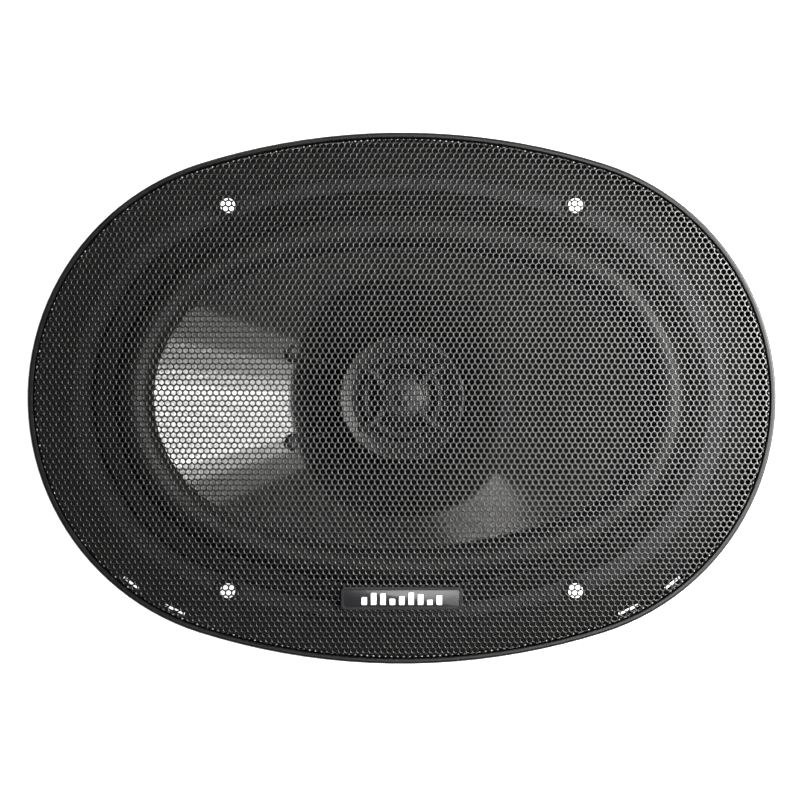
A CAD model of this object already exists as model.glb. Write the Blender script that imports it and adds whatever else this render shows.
import math
import random

import bpy
import numpy as np
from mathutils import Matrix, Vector


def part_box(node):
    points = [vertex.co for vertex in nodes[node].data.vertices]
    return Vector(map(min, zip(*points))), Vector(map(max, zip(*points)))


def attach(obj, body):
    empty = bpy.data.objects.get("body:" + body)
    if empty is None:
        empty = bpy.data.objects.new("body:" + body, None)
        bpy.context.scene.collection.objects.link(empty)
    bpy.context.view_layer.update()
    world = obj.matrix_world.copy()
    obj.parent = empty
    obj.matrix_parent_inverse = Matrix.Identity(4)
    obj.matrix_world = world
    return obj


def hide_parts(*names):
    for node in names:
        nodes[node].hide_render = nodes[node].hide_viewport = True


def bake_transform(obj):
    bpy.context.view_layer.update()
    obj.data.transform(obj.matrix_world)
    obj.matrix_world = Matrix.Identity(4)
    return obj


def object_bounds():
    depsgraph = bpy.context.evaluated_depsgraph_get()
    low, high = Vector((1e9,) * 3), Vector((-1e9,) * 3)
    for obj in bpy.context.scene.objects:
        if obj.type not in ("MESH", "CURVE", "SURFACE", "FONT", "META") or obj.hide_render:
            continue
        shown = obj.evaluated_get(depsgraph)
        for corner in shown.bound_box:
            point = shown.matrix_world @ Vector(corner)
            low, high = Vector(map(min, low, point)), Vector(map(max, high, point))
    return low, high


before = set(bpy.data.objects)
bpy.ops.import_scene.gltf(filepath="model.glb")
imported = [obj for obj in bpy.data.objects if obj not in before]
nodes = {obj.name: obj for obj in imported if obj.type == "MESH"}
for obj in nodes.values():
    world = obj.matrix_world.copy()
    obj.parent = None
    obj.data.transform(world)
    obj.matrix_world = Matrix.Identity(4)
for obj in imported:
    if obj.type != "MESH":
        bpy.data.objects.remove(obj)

CAD_BOX = [list(v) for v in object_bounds()]
MM = 0.001


# ---------------------------------------------------------------- ovals
def family(a, b, t):
    """A four-arc oval: end centre x, side centre y, end radius, side radius, junction angle."""
    m = round(100 * (a - b) / (t[0] + t[1] - t[2])) / 100
    r = a - m * t[0]
    return m * t[0], m * t[1], r, r + m * t[2], math.atan2(t[1], t[0])


TRAY_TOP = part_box("grille_tray")[1].z
OUTER = family(120.0, 85.3, (52, 165, 173))
INNER = family(98.0, 66.0, (5, 12, 13))


def oval_pt(f, d, t):
    """The point of family f at offset d (mm) whose outward normal points along angle t."""
    c, s = math.cos(t), math.sin(t)
    if abs(c) >= math.cos(f[4]) - 1e-9:
        return math.copysign(f[0], c) + (f[2] + d) * c, (f[2] + d) * s
    return (f[3] + d) * c, (f[3] + d) * s - math.copysign(f[1], s)


def oval_angles(f, ne, ns):
    """Normal angles round a family, ne steps on each end arc and ns on each side arc."""
    th, pi = f[4], math.pi
    out = [-th + 2 * th * k / ne for k in range(ne)]
    out += [th + (pi - 2 * th) * k / ns for k in range(ns)]
    out += [pi - th + 2 * th * k / ne for k in range(ne)]
    out += [pi + th + (pi - 2 * th) * k / ns for k in range(ns)]
    return out


def offset_of(f, x, y):
    """Signed offset of points from a family's base line, outward positive."""
    x, y = np.abs(np.asarray(x, float)), np.abs(np.asarray(y, float))
    end = np.hypot(x - f[0], y) - f[2]
    side = np.hypot(x, y + f[1]) - f[3]
    return np.where(np.arctan2(y, x - f[0]) <= f[4], end, side)


# ---------------------------------------------------------------- mesh helpers
def make(name, rows, faces):
    """A smooth-shaded object from rows of points in mm and faces that count through the rows."""
    mesh = bpy.data.meshes.new(name)
    mesh.from_pydata([tuple(c * MM for c in v) for row in rows for v in row], [], faces)
    mesh.validate()
    mesh.update()
    mesh.shade_smooth()
    ob = bpy.data.objects.new(name, mesh)
    bpy.context.scene.collection.objects.link(ob)
    return ob


def flipped(faces):
    """The same faces turned to look the other way."""
    return [f[::-1] for f in faces]


def grid(rows, close=False):
    """Faces between rows, each row a closed ring of points; close joins the last row to the first."""
    n, m, faces = len(rows[0]), len(rows), []
    for k in range(m if close else m - 1):
        k2 = (k + 1) % m
        for i in range(n):
            j = (i + 1) % n
            faces.append((k * n + i, k * n + j, k2 * n + j, k2 * n + i))
    return faces


def capped(rows):
    """Faces between rows, with the first and the last row filled in."""
    n = len(rows[0])
    return grid(rows) + [tuple(range(n))[::-1], tuple((len(rows) - 1) * n + i for i in range(n))]


def sharpen(ob, degrees=32):
    """Keeps edges sharper than the angle crisp and shades the rest smoothly."""
    bpy.context.view_layer.objects.active = ob
    for o in bpy.context.selected_objects:
        o.select_set(False)
    ob.select_set(True)
    bpy.ops.object.shade_smooth_by_angle(angle=math.radians(degrees))
    ob.select_set(False)
    return ob


def sweep(name, f, profile, ne, ns, degrees):
    """A closed profile of (offset, z) points in mm swept round a family."""
    angles = oval_angles(f, ne, ns)
    rows = [[(*oval_pt(f, d, t), z) for t in angles] for d, z in profile]
    return sharpen(make(name, rows, flipped(grid(rows, True))), degrees)


def lathe(name, profile, n, lift=0.0, close=True):
    """A profile of (radius, z) points in mm turned round Z and raised by lift."""
    turns = [2 * math.pi * i / n for i in range(n)]
    rows = [[(r * math.cos(t), r * math.sin(t), lift + z) for t in turns] for r, z in profile]
    return sharpen(make(name, rows, flipped(grid(rows, close))))


def rounded(points, radius, steps):
    """A closed profile with each corner replaced by a small arc-like curve."""
    out, n = [], len(points)
    for i in range(n):
        a, b, c = (np.array(points[(i + k) % n], float) for k in (-1, 0, 1))
        la, lc = np.linalg.norm(a - b), np.linalg.norm(c - b)
        r = min(radius, la * 0.45, lc * 0.45)
        p, q = b + (a - b) / la * r, b + (c - b) / lc * r
        for k in range(steps + 1):
            u = k / steps
            out.append(tuple((1 - u) ** 2 * p + 2 * u * (1 - u) * b + u * u * q))
    return out


def spline(points, steps):
    """A smooth Catmull-Rom curve through the points, with steps points from each to the next."""
    pts = [np.array(p, float) for p in points]
    pts = [2 * pts[0] - pts[1]] + pts + [2 * pts[-1] - pts[-2]]
    out = []
    for i in range(1, len(pts) - 2):
        a, b, c, d = pts[i - 1:i + 3]
        for k in range(steps):
            u = k / steps
            out.append(0.5 * ((2 * b) + (c - a) * u + (2 * a - 5 * b + 4 * c - d) * u * u
                              + (3 * b - a - 3 * c + d) * u ** 3))
    out.append(pts[-2])
    return out


def tube(name, path, radius, sides):
    """A round tube through the points of path, in mm; radius may be a function of 0 to 1."""
    path = [np.array(p, float) for p in path]
    n = len(path)
    rows, u = [], None
    for k in range(n):
        d = path[min(k + 1, n - 1)] - path[max(k - 1, 0)]
        d /= np.linalg.norm(d)
        if u is None:
            u = np.cross(d, (0, 1, 0) if abs(d[1]) < 0.9 else (1, 0, 0))
        u = u - d * float(u @ d)
        u /= np.linalg.norm(u)
        v = np.cross(d, u)
        r = radius(k / (n - 1)) if callable(radius) else radius
        rows.append([tuple(path[k] + r * (math.cos(2 * math.pi * i / sides) * u
                                          + math.sin(2 * math.pi * i / sides) * v))
                     for i in range(sides)])
    return make(name, rows, capped(rows))


# ---------------------------------------------------------------- materials
class Nodes:
    """Small helper that builds one material's node tree."""

    def __init__(self, name):
        self.mat = bpy.data.materials.new(name)
        self.mat.use_nodes = True
        self.tree = self.mat.node_tree
        self.bsdf = next(n for n in self.tree.nodes if n.type == "BSDF_PRINCIPLED")
        self.coord = self.tree.nodes.new("ShaderNodeTexCoord").outputs["Object"]

    def add(self, kind, **settings):
        node = self.tree.nodes.new(kind)
        for key, value in settings.items():
            setattr(node, key, value)
        return node

    def put(self, socket, value):
        if hasattr(value, "is_linked"):
            self.tree.links.new(value, socket)
        else:
            socket.default_value = value

    def noise(self, scale, detail=3, rough=0.5, stretch=None):
        node = self.add("ShaderNodeTexNoise")
        vector = self.coord
        if stretch:
            m = self.add("ShaderNodeMapping")
            self.put(m.inputs["Vector"], vector)
            m.inputs["Scale"].default_value = stretch
            vector = m.outputs["Vector"]
        self.put(node.inputs["Vector"], vector)
        node.inputs["Scale"].default_value = scale
        node.inputs["Detail"].default_value = detail
        node.inputs["Roughness"].default_value = rough
        return node.outputs["Fac"]

    def ramp(self, fac, lo, hi, a=0.0, b=1.0):
        """Maps fac from lo..hi to a..b, clamped."""
        node = self.add("ShaderNodeMapRange")
        self.put(node.inputs["Value"], fac)
        for key, v in (("From Min", lo), ("From Max", hi), ("To Min", a), ("To Max", b)):
            node.inputs[key].default_value = v
        return node.outputs["Result"]

    def mix(self, fac, a, b):
        node = self.add("ShaderNodeMix", data_type="RGBA")
        self.put(node.inputs["Factor"], fac)
        self.put(node.inputs[6], a if hasattr(a, "is_linked") else (*a, 1))
        self.put(node.inputs[7], b if hasattr(b, "is_linked") else (*b, 1))
        return node.outputs[2]

    def math(self, kind, a, b=0.0):
        node = self.add("ShaderNodeMath", operation=kind)
        self.put(node.inputs[0], a)
        self.put(node.inputs[1], b)
        return node.outputs[0]

    def wave(self, scale, direction, distortion=0.0, vector=None):
        node = self.add("ShaderNodeTexWave", bands_direction=direction)
        self.put(node.inputs["Vector"], vector or self.coord)
        node.inputs["Scale"].default_value = scale
        node.inputs["Distortion"].default_value = distortion
        return node.outputs["Fac"]

    def bump(self, height, distance, strength):
        node = self.add("ShaderNodeBump")
        self.put(node.inputs["Height"], height)
        node.inputs["Distance"].default_value = distance
        node.inputs["Strength"].default_value = strength
        return node.outputs["Normal"]

    def finish(self, color, rough, normal=None, **sockets):
        """Sets the shader: colour and roughness from nodes or numbers, the rest by socket name."""
        self.put(self.bsdf.inputs["Base Color"], color if hasattr(color, "is_linked") else (*color, 1))
        self.put(self.bsdf.inputs["Roughness"], rough)
        if normal is not None:
            self.put(self.bsdf.inputs["Normal"], normal)
        for key, value in sockets.items():
            self.bsdf.inputs[key.replace("_", " ")].default_value = value
        return self.mat


def coated(name, dark, light, rough, grain=2400, depth=0.00002, spread=0.12, **sockets):
    """Paint, moulded plastic or rubber: uneven tone, uneven gloss and a fine skin."""
    m = Nodes(name)
    broad, fine = m.noise(60, 4), m.noise(grain, 3, 0.6)
    color = m.mix(m.ramp(broad, 0.3, 0.7), dark, light)
    roughness = m.ramp(broad, 0.25, 0.75, rough - spread / 2, rough + spread / 2)
    return m.finish(color, roughness, m.bump(fine, depth, 0.6), **sockets)


def metal(name, dark, light, rough, stretch=(1, 1, 1), grain=900, depth=0.000008, spread=0.15):
    """Bare or plated metal with drawn or turned streaks."""
    m = Nodes(name)
    streak, cloud = m.noise(grain, 4, 0.6, stretch=stretch), m.noise(90, 5, 0.6)
    color = m.mix(m.ramp(cloud, 0.3, 0.7), dark, light)
    roughness = m.ramp(streak, 0.3, 0.7, rough - spread / 2, rough + spread / 2)
    return m.finish(color, roughness, m.bump(streak, depth, 0.5), Metallic=1.0)


MATS = {
    "mesh": coated("mesh_paint", (0.002, 0.002, 0.002), (0.004, 0.004, 0.004), 0.30, 4000, 0.000006, 0.06,
                   **{"Coat Weight": 0.8, "Coat Roughness": 0.22}),
    "basket": coated("basket_paint", (0.005, 0.005, 0.006), (0.010, 0.010, 0.011), 0.42, 1500, 0.00002, 0.12,
                     **{"Specular IOR Level": 0.35}),
    "foam": coated("gasket_foam", (0.003, 0.003, 0.003), (0.006, 0.006, 0.006), 0.9, 1400, 0.0002,
                   **{"Specular IOR Level": 0.2}),
    "cone": coated("cone_film", (0.005, 0.005, 0.005), (0.009, 0.009, 0.009), 0.13, 500, 0.000002, 0.05,
                   **{"Coat Weight": 1.0, "Coat Roughness": 0.1}),
    "surround": coated("surround_rubber", (0.005, 0.005, 0.005), (0.009, 0.009, 0.009), 0.46, 2200,
                       0.00002, 0.12, **{"Specular IOR Level": 0.35}),
    "glue": coated("black_glue", (0.002, 0.002, 0.002), (0.004, 0.004, 0.004), 0.5, 500, 0.00005),
    "guard": coated("guard_plastic", (0.007, 0.007, 0.007), (0.012, 0.012, 0.012), 0.38, 1800,
                    0.000004, 0.06),
    "housing": coated("housing_plastic", (0.006, 0.006, 0.007), (0.010, 0.010, 0.011), 0.44, 2600, 0.00002),
    "boot": coated("boot_rubber", (0.009, 0.009, 0.009), (0.020, 0.020, 0.019), 0.55, 1800, 0.00004),
    "felt": coated("dust_felt", (0.008, 0.008, 0.008), (0.022, 0.022, 0.022), 0.95, 2600, 0.0003),
    "badge": coated("badge_metal", (0.010, 0.010, 0.011), (0.015, 0.015, 0.017), 0.27, 2600, 0.000004, 0.06),
    "print": coated("motif_enamel", (0.72, 0.72, 0.72), (0.86, 0.86, 0.86), 0.35, 1600, 0.00001),
    "steel": metal("zinc_plate", (0.28, 0.27, 0.24), (0.42, 0.41, 0.38), 0.40, (1, 1, 6)),
    "nickel": metal("nickel_plate", (0.50, 0.48, 0.44), (0.66, 0.64, 0.60), 0.22),
    "tin": metal("tinned_brass", (0.62, 0.61, 0.57), (0.80, 0.79, 0.75), 0.26, (6, 1, 1)),
    "brass": metal("rivet_brass", (0.55, 0.38, 0.14), (0.78, 0.58, 0.26), 0.28),
    "dome": coated("dome_film", (0.008, 0.008, 0.009), (0.015, 0.015, 0.016), 0.36, 1500, 0.00001, 0.1),
    "wire_red": coated("wire_red", (0.30, 0.010, 0.010), (0.42, 0.018, 0.016), 0.38, 2200, 0.00002),
    "wire_black": coated("wire_black", (0.008, 0.008, 0.009), (0.014, 0.014, 0.015), 0.38, 2200, 0.00002),
}


def tray():
    """Moulded plastic: a polished wall round a matt shelf that lies behind the mesh."""
    m = Nodes("tray_plastic")
    broad, fine = m.noise(60, 4), m.noise(3200, 3, 0.6)
    point, facing = m.add("ShaderNodeSeparateXYZ"), m.add("ShaderNodeSeparateXYZ")
    m.put(point.inputs[0], m.coord)
    m.put(facing.inputs[0], m.coord.node.outputs["Normal"])
    wall = m.math("MAXIMUM", m.ramp(point.outputs["Z"], 0.0034, 0.0040),
                  m.ramp(facing.outputs["Z"], 0.7, 0.5))
    color = m.mix(m.ramp(broad, 0.3, 0.7), (0.002, 0.002, 0.002), (0.004, 0.004, 0.004))
    rough = m.math("MAXIMUM", m.ramp(broad, 0.25, 0.75, 0.24, 0.32), m.math("SUBTRACT", 0.85, wall))
    return m.finish(color, rough, m.bump(fine, 0.000012, 0.6), Specular_IOR_Level=0.35)


def ferrite():
    """Ground ceramic magnet with small dark pits."""
    m = Nodes("ground_ferrite")
    cloud, grind, pits = m.noise(45, 5), m.noise(700, 3, 0.6, stretch=(1, 1, 9)), m.noise(900, 2)
    color = m.mix(m.ramp(cloud, 0.3, 0.7), (0.030, 0.031, 0.034), (0.065, 0.066, 0.070))
    color = m.mix(m.ramp(pits, 0.66, 0.74), color, (0.012, 0.012, 0.013))
    rough = m.ramp(grind, 0.3, 0.7, 0.35, 0.62)
    return m.finish(color, rough, m.bump(grind, 0.00003, 0.6), Metallic=0.35)


def phenolic():
    """Brown board of resin and paper fibre."""
    m = Nodes("phenolic_board")
    fibre, cloud = m.noise(500, 4, 0.6, stretch=(1, 5, 1)), m.noise(120, 4)
    color = m.mix(m.ramp(fibre, 0.35, 0.65), (0.20, 0.085, 0.030), (0.30, 0.140, 0.055))
    color = m.mix(m.ramp(cloud, 0.5, 0.8), color, (0.14, 0.060, 0.022))
    return m.finish(color, m.ramp(cloud, 0.3, 0.7, 0.32, 0.5), m.bump(fibre, 0.00003, 0.5))


def cloth():
    """Woven, resin-stiffened cloth of the spider."""
    m = Nodes("spider_weave")
    warp, weft = m.wave(620, "X"), m.wave(620, "Y")
    weave = m.math("MAXIMUM", warp, weft)
    resin = m.noise(120, 4)
    color = m.mix(m.ramp(weave, 0.3, 0.95), (0.20, 0.105, 0.022), (0.50, 0.300, 0.085))
    color = m.mix(m.ramp(resin, 0.55, 0.85), color, (0.26, 0.14, 0.035))
    return m.finish(color, m.ramp(resin, 0.3, 0.7, 0.55, 0.8), m.bump(weave, 0.00012, 0.8))


def winding(name, dark, light, pitch):
    """Enamelled wire laid turn on turn: grooves along Z."""
    m = Nodes(name)
    turns = m.wave(math.pi / 10 / pitch, "Z")
    color = m.mix(m.ramp(turns, 0.1, 0.7), dark, light)
    return m.finish(color, m.ramp(turns, 0, 1, 0.45, 0.22), m.bump(turns, 0.00008, 1.0), Metallic=0.85)


def film():
    """Amber film of the voice coil's former."""
    m = Nodes("former_film")
    cloud, scratch = m.noise(80, 4), m.noise(1200, 3, 0.6, stretch=(1, 1, 12))
    color = m.mix(m.ramp(cloud, 0.3, 0.7), (0.42, 0.22, 0.035), (0.55, 0.32, 0.07))
    return m.finish(color, m.ramp(scratch, 0.3, 0.7, 0.14, 0.3), m.bump(scratch, 0.000006, 0.5))


def sleeve():
    """Shrunk capacitor sleeve with a pale polarity stripe along its middle."""
    m = Nodes("capacitor_sleeve")
    point = m.add("ShaderNodeSeparateXYZ")
    m.put(point.inputs[0], m.coord)
    cloud, skin = m.noise(160, 4), m.noise(1500, 3)
    mid, half_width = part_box("crossover_capacitor")[0].z + 0.0095, 0.0016
    from_mid = m.math("ABSOLUTE", m.math("SUBTRACT", point.outputs["Z"], mid))
    band = m.math("LESS_THAN", from_mid, half_width)
    color = m.mix(m.ramp(cloud, 0.3, 0.7), (0.010, 0.025, 0.085), (0.016, 0.040, 0.125))
    color = m.mix(band, color, (0.45, 0.50, 0.56))
    return m.finish(color, m.ramp(cloud, 0.3, 0.7, 0.2, 0.34), m.bump(skin, 0.00001, 0.5))


def braid():
    """Twisted copper strands of the flexible leads."""
    m = Nodes("tinsel_braid")
    slant = m.add("ShaderNodeMapping")
    m.put(slant.inputs["Vector"], m.coord)
    slant.inputs["Rotation"].default_value = (0.0, 0.78, 0.0)
    strands = m.wave(900, "X", 1.5, slant.outputs["Vector"])
    color = m.mix(strands, (0.22, 0.085, 0.030), (0.62, 0.30, 0.14))
    return m.finish(color, 0.36, m.bump(strands, 0.0001, 1.0), Metallic=0.9)


MATS.update(tray=tray(), ferrite=ferrite(), phenolic=phenolic(), cloth=cloth(), film=film(), sleeve=sleeve(),
            braid=braid(), copper=winding("coil_copper", (0.30, 0.10, 0.035), (0.72, 0.33, 0.14), 0.0003),
            copper_fine=winding("fine_copper", (0.30, 0.10, 0.035), (0.72, 0.33, 0.14), 0.00015))


def paint(ob, key):
    """Gives an object one material in every slot."""
    mat = MATS[key]
    if not ob.data.materials:
        ob.data.materials.append(mat)
    for slot in ob.material_slots:
        slot.material = mat


def place(ob, body, replaced, key):
    """Binds a new piece: its body, record slot, the CAD node it stands for and its material."""
    paint(ob, key)
    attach(ob, body)
    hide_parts(replaced)


def flex(ob, weights, replaced, key):
    """Binds a soft piece that joins two bodies; weights run from 0 on still to 1 on moving."""
    paint(ob, key)
    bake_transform(ob)
    w = np.clip(np.asarray(weights, float), 0, 1)
    w = w * w * (3 - 2 * w)
    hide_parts(replaced)


def points_of(ob):
    """Vertex positions of a mesh in mm."""
    co = np.zeros(len(ob.data.vertices) * 3)
    ob.data.vertices.foreach_get("co", co)
    return co.reshape(-1, 3) / MM


KEPT = {
    "basket": "basket", "surround_gasket": "foam", "top_plate": "steel", "ferrite_magnet": "ferrite",
    "pole_yoke": "steel", "basket_rivets": "steel", "terminal_board": "phenolic",
    "terminal_tab_positive": "tin", "terminal_tab_negative": "tin", "terminal_rivets": "brass",
    "crossover_capacitor": "sleeve", "tweeter_post": "steel", "post_washer": "steel",
    "post_nut": "steel", "tweeter_housing": "housing", "tweeter_yoke_cup": "steel",
    "tweeter_magnet": "nickel", "tweeter_top_plate": "steel", "tweeter_edge_ring": "housing",
    "coil_former": "film", "dust_ring": "felt", "tweeter_dome": "dome",
    "tweeter_coil": "copper_fine", "grille_tray": "tray",
    "badge_push_nuts": "steel", "coil_winding": "copper", "magnet_boot": "boot",
}
for node, key in KEPT.items():
    paint(nodes[node], key)


# ---------------------------------------------------------------- cone and surround
# In mm: the cone's round neck, its depth, its edge's offset from the inner oval and its thickness
NECK_R, NECK_Z = 13.1, -28.0
CONE_DEPTH, CONE_EDGE, CONE_THICK = 28.6, -17.2, 0.88


def cone_z(u):
    """Height of the cone's front at u, which runs from 0 at the neck to 1 at the edge."""
    return NECK_Z + CONE_DEPTH * u ** 0.88


def cone_pt(u, t):
    """A point of the cone at u and angle t: a circle at the neck that turns into an oval at the edge."""
    x, y = oval_pt(INNER, CONE_EDGE, t)
    return (1 - u) * NECK_R * math.cos(t) + u * x, (1 - u) * NECK_R * math.sin(t) + u * y


def build_cone():
    """The cone's front and back skins, joined at the neck and at the edge."""
    angles = oval_angles(INNER, 72, 44)
    us = [k / 40 for k in range(41)]
    top = [[(*cone_pt(u, t), cone_z(u)) for t in angles] for u in us]
    back = [[(*cone_pt(u, t), cone_z(u) - CONE_THICK) for t in angles] for u in us[::-1]]
    rows = top + back
    ob = sharpen(make("cone_shell", rows, grid(rows, True)), 40)
    place(ob, "cone_assembly", "cone", "cone")


def build_surround():
    """Half-roll surround: flat on the basket's rim, a rubber roll and a lip on the cone's edge."""
    roll, mid, t = 6.2, -11.6, 0.55
    seat, under, lip = 1.75, 1.26, (-18.28, 1.22)
    arc = [math.pi * k / 28 for k in range(29)]
    outer = [(0.6, seat), (mid + roll + 0.4, seat)]
    outer += [(mid + roll * math.cos(a), seat + roll * math.sin(a)) for a in arc]
    outer += [(mid - roll - 0.3, seat), (lip[0], seat)]
    inner = [lip, (mid - roll + t, lip[1])]
    inner += [(mid + (roll - t) * math.cos(a), under + (roll - t) * math.sin(a)) for a in arc[::-1]]
    inner += [(mid + roll - t + 0.1, under), (0.6, under)]
    ob = sweep("surround_roll", INNER, outer + inner, 80, 48, 40)
    co = points_of(ob)
    w = (mid + roll - offset_of(INNER, co[:, 0], co[:, 1])) / (2 * roll)
    flex(ob, w, "surround", "surround")


def build_spider():
    """Corrugated cloth disc between the coil former and a flat landing on the basket."""
    z0, first, last, crest, t = -31.4, 15.5, 38.0, 1.5, 0.24
    rs = [first + (last - first) * k / 144 for k in range(145)]
    wave = [z0 + crest * math.sin((r - first) * 2 * math.pi / 5) for r in rs]
    profile = [(12.97, z0 - 1.15), (12.97, z0 + 1.5), (13.5, z0 + 1.5), (13.75, z0 + 0.6), (14.2, z0 + 0.25)]
    profile += [(r, h + t) for r, h in zip(rs, wave)]
    profile += [(41.2, z0 + t), (46.7, z0 + t), (46.7, z0 - 0.5), (41.2, z0 - 0.5)]
    profile += [(r, h - t) for r, h in zip(rs[::-1], wave[::-1])]
    profile += [(14.0, z0 - 0.25), (13.6, z0 - 1.1)]
    ob = lathe("spider_cloth", profile, 144)
    co = points_of(ob)
    still_r, moving_r = 41.0, 14.0
    w = (still_r - np.hypot(co[:, 0], co[:, 1])) / (still_r - moving_r)
    flex(ob, w, "spider", "cloth")


# In mm, from the tweeter's own zero: the front of its guard's ring and the top of the hub's boss
GUARD_TOP, BOSS_TOP = 11.0, 12.1
TWEETER_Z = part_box("tweeter_guard")[1].z / MM - BOSS_TOP


def build_tweeter_surround():
    """Small half-roll that holds the tweeter's dome."""
    mid, half, t = 12.02, 2.0, 0.3
    arc = [math.pi * k / 20 for k in range(21)]
    profile = [(15.8, 4.32), (14.02, 4.32)]
    profile += [(mid + (half - t) * math.cos(a), 4.5 + (half - t) * math.sin(a)) for a in arc]
    profile += [(10.03, 4.32), (10.03, 4.8)]
    profile += [(mid + half * math.cos(a), 4.8 + (half - 0.02) * math.sin(a)) for a in arc[::-1]]
    profile += [(14.3, 4.79), (15.8, 4.79)]
    ob = lathe("tweeter_suspension", profile, 128, TWEETER_Z)
    co = points_of(ob)
    w = (14.0 - np.hypot(co[:, 0], co[:, 1])) / 3.9
    flex(ob, w, "tweeter_surround", "surround")


def tail_radius(v):
    """Radius in mm of a glue tail, uneven along its length."""
    if v < 0.5:
        return 0.28 + 0.2 * math.sin(math.pi * min(1, v * 1.6 + 0.2)) ** 2
    return 0.36 + 0.1 * math.sin(9 * v)


def build_dots():
    """Glue over the lead-outs: a low rounded drop and a thin tail towards the coil."""
    t = math.radians(143.5)
    spot = np.array([*cone_pt(0.4, t), cone_z(0.4)])
    step = spot - np.array([*cone_pt(0.08, t), cone_z(0.08)])
    tilt = math.radians(25)
    up = np.array([-math.cos(t) * math.sin(tilt), -math.sin(t) * math.sin(tilt), math.cos(tilt)])
    along = np.array([-math.sin(t), math.cos(t), 0.0])
    across = np.cross(up, along)
    rng = random.Random(7)
    for s, label in ((1, "upper"), (-1, "lower")):
        lumps = [rng.uniform(-0.05, 0.05) for _ in range(5)]
        rows = []
        for k in range(15):
            a = math.pi / 2 * k / 14
            row = []
            for i in range(40):
                p = 2 * math.pi * i / 40
                swell = sum(w * math.cos((q + 2) * p + q) for q, w in enumerate(lumps))
                r = 2.82 * math.cos(a) ** 0.8 * (1 + swell)
                v = (spot + up * (0.34 + 1.48 * math.sin(a))
                     + along * r * math.cos(p) + across * r * math.sin(p))
                row.append((v[0], s * v[1], v[2]))
            rows.append(row)
        faces = grid(rows) + [tuple(range(40))[::-1]]
        drop = make("glue_drop_" + label, rows, faces if s > 0 else flipped(faces))
        place(drop, "cone_assembly", "lead_dots", "glue")
        path = []
        for k in range(40):
            v = 0.175 + 0.82 * k / 39
            q = spot - v * step + np.array([0, 0, 1.0]) + along * 0.08 * math.sin(k / 3)
            path.append((q[0], s * q[1], q[2]))
        tail = tube("glue_tail_" + label, path, tail_radius, 14)
        place(tail, "cone_assembly", "lead_dots", "glue")


def build_leads():
    """Flexible leads: three strands laid round each other from a lug to the back of the cone."""
    mid_x, mid_y, mid_z, bow = -37.3, 14.4, -37.2, 20.2
    lay, turns, strand, n, sides = 0.33, 9, 0.35, 120, 10
    for s, node in ((1, "tinsel_lead_positive"), (-1, "tinsel_lead_negative")):
        for q in range(3):
            path = []
            for k in range(n):
                v = k / (n - 1)
                a = math.radians(176 + (85 - 176) * v)
                b = 2 * math.pi * (q / 3 + turns * v)
                r = bow + lay * math.cos(b)
                path.append((mid_x + r * math.cos(a), s * mid_y + lay * math.sin(b), mid_z + r * math.sin(a)))
            ob = tube(node + "_strand_%d" % q, path, strand, sides)
            w = np.repeat(np.linspace(0, 1, n), sides)
            flex(ob, w, node, "braid")


def build_wires():
    """The tweeter's wires: down through the pole, out under the yoke and up to the terminals."""
    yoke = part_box("pole_yoke")[0].z / MM
    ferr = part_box("ferrite_magnet")
    plate = ferr[1].z / MM
    in_x, low = ferr[0].x / MM - 1.6, yoke - 1.1

    def feed(y):
        pts = [(0, y, TWEETER_Z - 7), (0, y, -30), (0, y, low + 6), (0, y, low + 2)]
        pts += [(-2 + 2 * math.cos(a), y, low + 2 - 2 * math.sin(a)) for a in np.radians((30, 60))]
        pts += [(-2, y, low), (-12, y, low), (-30, y, low), (in_x + 5, y, low), (in_x + 2, y, low)]
        pts += [(in_x + 2 - 2 * math.sin(a), y, low + 2 - 2 * math.cos(a)) for a in np.radians((30, 60))]
        return pts + [(in_x, y, low + 2), (in_x, y, low + 8), (in_x, y, plate - 1)]

    red = feed(1) + [(-51, 1.1, -54), (-52.6, 1.2, -51.9)]
    black = feed(-1) + [(-51.4, -2.4, -54.6), (-53.6, -6.5, -52.8), (-55.6, -11.2, -50),
                        (-57, -13.8, -45.4), (-57.4, -14.3, -37.6)]
    for path, label, key in ((red, "red", "wire_red"), (black, "black", "wire_black")):
        ob = tube("tweeter_wire_" + label, spline(path, 6), 0.7, 14)
        place(ob, "chassis", "tweeter_wires", key)


# ---------------------------------------------------------------- tweeter guard
def build_guard():
    """A dished ring, two bars bowed in from its sides and a hub with a rounded boss."""
    z, bow_x, bow_r = TWEETER_Z + GUARD_TOP, 15.6, 10.1
    ring = rounded([(15.85, -3.08), (20.38, -3.08), (20.38, -0.7), (19.9, -0.02), (19.3, -0.02),
                    (15.85, -1.62)], 0.35, 4)
    place(lathe("guard_ring", ring, 160, z), "chassis", "tweeter_guard", "guard")
    section = rounded([(-1.3, -2.6), (1.3, -2.6), (1.3, -1.1), (0.7, -0.6), (-0.7, -0.6),
                       (-1.3, -1.1)], 0.35, 3)
    for s, label in ((1, "right"), (-1, "left")):
        rows = []
        for a in np.radians(np.linspace(-92, 92, 90)):
            nx, ny = -s * math.cos(a), math.sin(a)
            x, y = s * bow_x + bow_r * nx, bow_r * ny
            if math.hypot(x, y) < 17.2:
                rows.append([(x + nx * d, y + ny * d, z + h) for d, h in section])
        faces = capped(rows)
        bar = sharpen(make("guard_bar_" + label, rows, faces if s < 0 else flipped(faces)))
        place(bar, "chassis", "tweeter_guard", "guard")
    hub = [(0.001, -2.6), (7.2, -2.6), (7.38, -2.4), (7.38, -1.15), (7.2, -0.8), (6.8, -0.5),
           (5.0, -0.2), (3.6, -0.08)]
    hub += [(4.05 * math.cos(a), -3 + 4.08 * math.sin(a)) for a in np.radians(np.linspace(47, 89.9, 16))]
    place(lathe("guard_hub", hub, 96, z, False), "chassis", "tweeter_guard", "guard")


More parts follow.
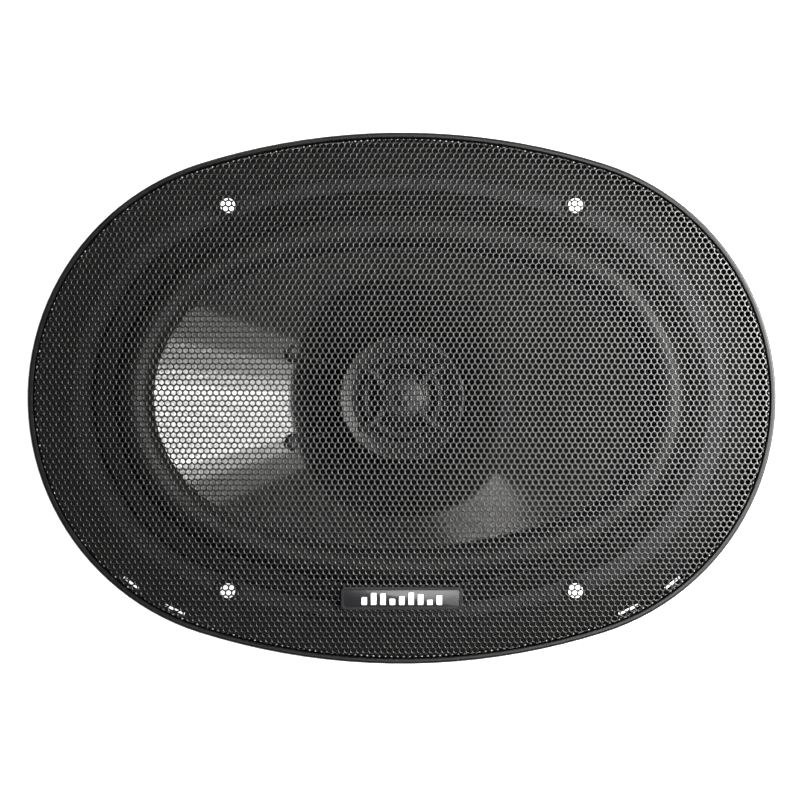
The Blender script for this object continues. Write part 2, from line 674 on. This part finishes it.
# ---------------------------------------------------------------- grille mesh
# In mm: hole spacing and radius, height of the rim, rise of the dome, offsets of the skirt and of
# the rim's bend, sheet thickness, and where the sheet is divided into pieces
PITCH = 1.945
HOLE = 0.765
MESH_Z, RISE, SKIRT = 12.3, 4.5, -2.1
RIM = SKIRT - 1.0
THICK = 0.5
SEAM = 52.0
# Holes to each side of the middle, along X and Y, before the sheet is cut to its oval
COLUMNS, ROWS = 66, 54


def dome_z(x, y):
    """Height of the mesh's front skin, nearly flat in the middle and lower towards the rim."""
    ang = np.arctan2(y, x)
    lo, hi = np.zeros_like(ang), np.full_like(ang, 200.0)
    for _ in range(26):
        mid = (lo + hi) / 2
        out = offset_of(OUTER, mid * np.cos(ang), mid * np.sin(ang)) > RIM
        hi, lo = np.where(out, mid, hi), np.where(out, lo, mid)
    u = np.minimum(np.hypot(x, y) / ((lo + hi) / 2), 1.0)
    return MESH_Z + RISE * (1 - u ** 3)


def bend_sheet(flat, depth):
    """Places flat sheet points on the domed front, round the rolled edge and down the skirt."""
    x, y = flat[:, 0], flat[:, 1]
    off = offset_of(OUTER, x, y)
    end = np.arctan2(np.abs(y), np.abs(x) - OUTER[0]) <= OUTER[4]
    nx = np.where(end, x - np.sign(x) * OUTER[0], x)
    ny = np.where(end, y, y + np.sign(y) * OUTER[1])
    q = np.hypot(nx, ny)
    roll = SKIRT - RIM
    past = np.maximum(off - RIM, 0.0)
    turn = np.minimum(past / roll, math.pi / 2)
    down = np.maximum(past - roll * math.pi / 2, 0.0)
    new = RIM + (roll - depth) * np.sin(turn)
    shift = np.where(past > 0, new - off, 0.0)
    z = np.where(past > 0, MESH_Z - roll + (roll - depth) * np.cos(turn) - down, dome_z(x, y) - depth)
    return np.column_stack([x + nx / q * shift, y + ny / q * shift, z])


def build_mesh():
    """Hexagonal cells on a whole-number lattice: x in quarters of the pitch, y in sixths of a row."""
    ux, uy = PITCH / 4, PITCH * math.sqrt(3) / 12
    lattice = [(4 * i + 2 * (j % 2), 6 * j) for j in range(-ROWS, ROWS + 1)
               for i in range(-COLUMNS, COLUMNS)]
    xy = np.array(lattice) * (ux, uy)
    keep = offset_of(OUTER, xy[:, 0], xy[:, 1]) < RIM + (SKIRT - RIM) * math.pi / 2 + 0.1
    lattice = [c for c, k in zip(lattice, keep) if k]
    ring = 12
    hexa = [(2, 2), (1, 3), (0, 4), (-1, 3), (-2, 2), (-2, 0),
            (-2, -2), (-1, -3), (0, -4), (1, -3), (2, -2), (2, 0)]
    hole = [(math.cos(a), math.sin(a)) for a in np.radians(30 + 30 * np.arange(ring))]
    groups = {}
    for i, j in lattice:
        groups.setdefault((i >= 0, j >= 0, abs(i * ux) > SEAM), []).append((i, j))
    for (right, up, far), group in sorted(groups.items()):
        index, flat, drop, faces = {}, [], [], []

        def corner(i, j, layer, depth):
            if (i, j, layer) not in index:
                index[i, j, layer] = len(flat)
                flat.append((i * ux, j * uy))
                drop.append(depth)
            return index[i, j, layer]

        def loop(x, y, grow, depth):
            first = len(flat)
            flat.extend((x + (HOLE + grow) * a, y + (HOLE + grow) * b) for a, b in hole)
            drop.extend([depth] * ring)
            return list(range(first, first + ring))

        for i, j in group:
            x, y = i * ux, j * uy
            rings = [[corner(i + a, j + b, 0, 0.0) for a, b in hexa],
                     loop(x, y, 0.13, 0.006), loop(x, y, 0.05, 0.045), loop(x, y, 0.0, 0.16),
                     loop(x, y, 0.0, THICK),
                     [corner(i + a, j + b, 1, THICK) for a, b in hexa]]
            for one, two in zip(rings, rings[1:]):
                for k in range(ring):
                    m = (k + 1) % ring
                    faces.append((one[k], one[m], two[m], two[k]))
        points = bend_sheet(np.array(flat), np.array(drop))
        name = "mesh_%s_%s_%s" % ("upper" if up else "lower", "right" if right else "left",
                                  "outer" if far else "inner")
        ob = sharpen(make(name, [points.tolist()], faces), 60)
        place(ob, "grille", "grille_mesh", "mesh")
    # the unpierced skirt behind the tray's wall
    foot, head = 3.15, MESH_Z - 1.4
    front, back = SKIRT - 0.05, SKIRT - THICK + 0.05
    profile = [(back, foot), (back, head), (front, head), (front, foot)]
    skirt = sweep("mesh_skirt", OUTER, profile, 96, 60, 50)
    place(skirt, "grille", "grille_mesh", "mesh")


# ---------------------------------------------------------------- badge
def build_badge():
    """A plate with a raised edge and plain level bars, laid on the slope of the mesh."""
    length, width, corner, y0 = 39.0, 7.2, 1.4, -64.0
    b = OUTER[3] - OUTER[1] + RIM
    z0 = MESH_Z + RISE * (1 - abs(y0 / b) ** 3) + 0.12
    tilt = math.atan(3 * RISE * y0 ** 2 / b ** 3)

    def lay(x, y, z):
        """A point of the badge moved onto the mesh."""
        c, s = math.cos(tilt), math.sin(tilt)
        return x, y0 + y * c - z * s, z0 + y * s + z * c

    def outline(l, w, r, z, inset=0.0, at=(0, 0)):
        """A rectangle with rounded corners, drawn in by inset."""
        rr = max(r - inset, 0.02)
        row = []
        for q, (cx, cy) in enumerate(((1, 1), (-1, 1), (-1, -1), (1, -1))):
            for a in (math.pi / 2 * (q + k / 6) for k in range(7)):
                row.append(lay(at[0] + cx * (l / 2 - r) + rr * math.cos(a),
                               at[1] + cy * (w / 2 - r) + rr * math.sin(a), z))
        return row

    def slab(name, l, w, z_lo, z_hi, r, bevel, at=(0, 0)):
        """A rounded-corner plate with a bevelled top edge."""
        steps = ((0.0, z_lo), (0.0, z_hi - bevel), (bevel * 0.3, z_hi - bevel * 0.3), (bevel, z_hi))
        rows = [outline(l, w, r, z, inset, at) for inset, z in steps]
        return sharpen(make(name, rows, capped(rows)), 35)

    plate = slab("badge_slab", length, width, 0.0, 1.42, corner, 0.05)
    place(plate, "grille", "badge_plate", "badge")
    rows = [outline(l, w, r, z) for l, w, r, z in (
        (37.1, 5.5, 0.8, 1.40), (37.1, 5.5, 0.8, 1.66), (37.2, 5.6, 0.85, 1.70),
        (38.6, 6.8, 1.2, 1.70), (length, width, corner, 1.55), (length, width, corner, 1.40))]
    edge = sharpen(make("badge_edge", rows, flipped(grid(rows, True))), 35)
    place(edge, "grille", "badge_plate", "badge")
    for i, x in enumerate((-13, 13)):
        pin = tube("badge_pin_%d" % i, [lay(x, 0, -3.4), lay(x, 0, -2), lay(x, 0, 0.2)], 0.88, 20)
        place(pin, "grille", "badge_plate", "badge")
    for k in range(9):
        hgt = 1.4 + 2.6 * abs(math.sin(math.radians(k * 47 + 25)))
        bar = slab("badge_bar_%d" % k, 1.8, hgt, 1.4, 1.74, 0.25, 0.1, ((k - 4) * 3.0, -2 + hgt / 2))
        place(bar, "grille", "badge_motif", "print")


build_cone()
build_surround()
build_spider()
build_tweeter_surround()
build_dots()
build_leads()
build_wires()
build_guard()
build_mesh()
build_badge()

# ---------------------------------------------------------------- stage, lights and camera
floor_z = CAD_BOX[0][2] - 0.0001
mesh = bpy.data.meshes.new("floor")
mesh.from_pydata([(-4, -4, floor_z), (4, -4, floor_z), (4, 4, floor_z), (-4, 4, floor_z)], [], [(0, 1, 2, 3)])
floor = bpy.data.objects.new("floor", mesh)
bpy.context.scene.collection.objects.link(floor)
fm = Nodes("pale_floor")
fm.finish((0.92, 0.92, 0.92), 0.9)
fm.bsdf.inputs["Emission Color"].default_value = (1, 1, 1, 1)
fm.bsdf.inputs["Emission Strength"].default_value = 0.95
mesh.materials.append(fm.mat)

world = bpy.data.worlds.new("studio")
bpy.context.scene.world = world
world.use_nodes = True
world.node_tree.nodes["Background"].inputs[0].default_value = (1, 1, 1, 1)
world.node_tree.nodes["Background"].inputs[1].default_value = 0.05


def softbox(name, polar, azimuth, distance, w, h, power, color=(1, 1, 1)):
    """A rectangular studio lamp aimed at the object, placed by its angle from the +Z axis."""
    data = bpy.data.lights.new(name, "AREA")
    data.shape, data.size, data.size_y = "RECTANGLE", w, h
    data.energy, data.color = power, color
    ob = bpy.data.objects.new(name, data)
    p, a = math.radians(polar), math.radians(azimuth)
    ob.location = Vector((math.sin(p) * math.cos(a), math.sin(p) * math.sin(a), math.cos(p))) * distance
    ob.rotation_euler = (-ob.location).to_track_quat("-Z", "Y").to_euler()
    bpy.context.scene.collection.objects.link(ob)
    return ob


softbox("key", 45, 15.5, 0.85, 0.40, 0.42, 15, (1, 1, 0.98))
softbox("fade_a", 45.5, -8.5, 0.90, 0.13, 0.44, 3.2, (1, 1, 0.97))
softbox("fade_b", 46, -21, 0.92, 0.18, 0.44, 2.2, (1, 1, 0.96))
softbox("fade_c", 46, -39, 0.95, 0.28, 0.44, 1.3, (1, 1, 0.95))
softbox("fade_d", 45.5, 39.5, 0.90, 0.13, 0.44, 2.6, (1, 1, 0.97))
softbox("fade_e", 46, 54, 0.93, 0.22, 0.44, 1.2, (1, 1, 0.95))
softbox("strip_top", 68, 104, 1.0, 0.28, 0.18, 2.6, (1, 0.98, 0.92))
softbox("lift", 12, 2, 1.1, 0.30, 0.30, 4.2)

cam_data = bpy.data.cameras.new("camera")
cam = bpy.data.objects.new("camera", cam_data)
bpy.context.scene.collection.objects.link(cam)
# The camera's height above the grille in metres, and the width and middle in mm of what it sees there
distance = 2.0
view_width, view_x, view_y = 256.34179, -0.5447263, -0.60881175
cam_data.sensor_width = 36.0
cam_data.lens = cam_data.sensor_width * distance / (view_width * MM)
cam_data.clip_end = 50.0
cam.location = (view_x * MM, view_y * MM, TRAY_TOP + distance)
cam.rotation_euler = (0, 0, 0)
bpy.context.scene.camera = cam
bpy.context.scene.view_settings.view_transform = "Standard"
